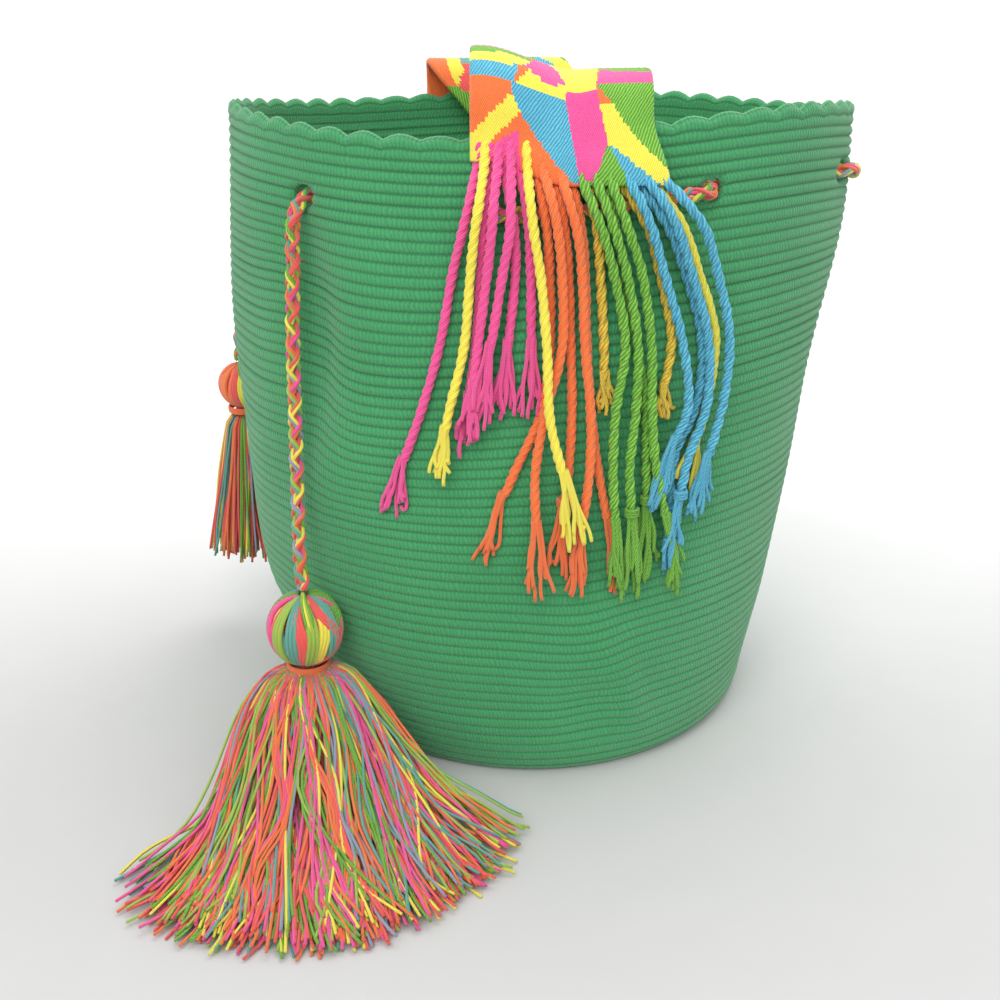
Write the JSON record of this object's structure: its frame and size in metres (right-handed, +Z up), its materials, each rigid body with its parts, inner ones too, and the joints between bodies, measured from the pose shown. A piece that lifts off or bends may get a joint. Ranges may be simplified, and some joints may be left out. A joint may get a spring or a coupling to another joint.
{
  "type": "crocheted mochila bag",
  "caption": "Crocheted bucket bag with a scalloped rim, a woven fringed strap tucked inside, and a drawstring ending in two tassels.",
  "frame": {"origin": "centre of the underside of the round base", "axes": "+Z up out of the mouth, +X to the right and +Y from the front wall to the far wall"},
  "size_m": [0.3483, 0.3644, 0.3292],
  "materials": {
    "green_cotton": "matte",
    "woven_strap": "matte",
    "mixed_yarn": "matte",
    "pink_yarn": "matte",
    "yellow_yarn": "matte",
    "orange_yarn": "matte",
    "green_yarn": "matte",
    "mustard_yarn": "matte",
    "blue_yarn": "matte"
  },
  "bodies": {
    "root": {"bag_body": "green_cotton", "strap_band": "woven_strap", "drawstring": "mixed_yarn", "tassel_1": "mixed_yarn", "tassel_1_tie": "mixed_yarn", "tassel_2": "mixed_yarn", "tassel_2_tie": "mixed_yarn", "fringe_pink_1": "pink_yarn", "fringe_yellow_1": "yellow_yarn", "fringe_pink_2": "pink_yarn", "fringe_pink_3": "pink_yarn", "fringe_pink_4": "pink_yarn", "fringe_pink_5": "pink_yarn", "fringe_pink_6": "pink_yarn", "fringe_yellow_2": "yellow_yarn", "fringe_orange_1": "orange_yarn", "fringe_orange_2": "orange_yarn", "fringe_orange_3": "orange_yarn", "fringe_orange_4": "orange_yarn", "fringe_orange_5": "orange_yarn", "fringe_green_1": "green_yarn", "fringe_mustard_1": "mustard_yarn", "fringe_green_2": "green_yarn", "fringe_green_3": "green_yarn", "fringe_green_4": "green_yarn", "fringe_mustard_2": "mustard_yarn", "fringe_blue_1": "blue_yarn", "fringe_blue_2": "blue_yarn", "fringe_blue_3": "blue_yarn", "fringe_yellow_3": "yellow_yarn", "fringe_blue_4": "blue_yarn", "far_fringe_back_1": "pink_yarn", "far_fringe_front_1": "pink_yarn", "far_fringe_back_2": "pink_yarn", "far_fringe_front_2": "pink_yarn", "far_fringe_back_3": "yellow_yarn", "far_fringe_front_3": "yellow_yarn", "far_fringe_back_4": "yellow_yarn", "far_fringe_front_4": "yellow_yarn", "far_fringe_back_5": "orange_yarn", "far_fringe_front_5": "orange_yarn", "far_fringe_back_6": "orange_yarn", "far_fringe_front_6": "orange_yarn", "far_fringe_back_7": "green_yarn", "far_fringe_front_7": "green_yarn", "far_fringe_back_8": "green_yarn", "far_fringe_front_8": "green_yarn", "far_fringe_back_9": "blue_yarn", "far_fringe_front_9": "blue_yarn", "far_fringe_back_10": "blue_yarn", "far_fringe_front_10": "blue_yarn"}
  },
  "joints": []
}
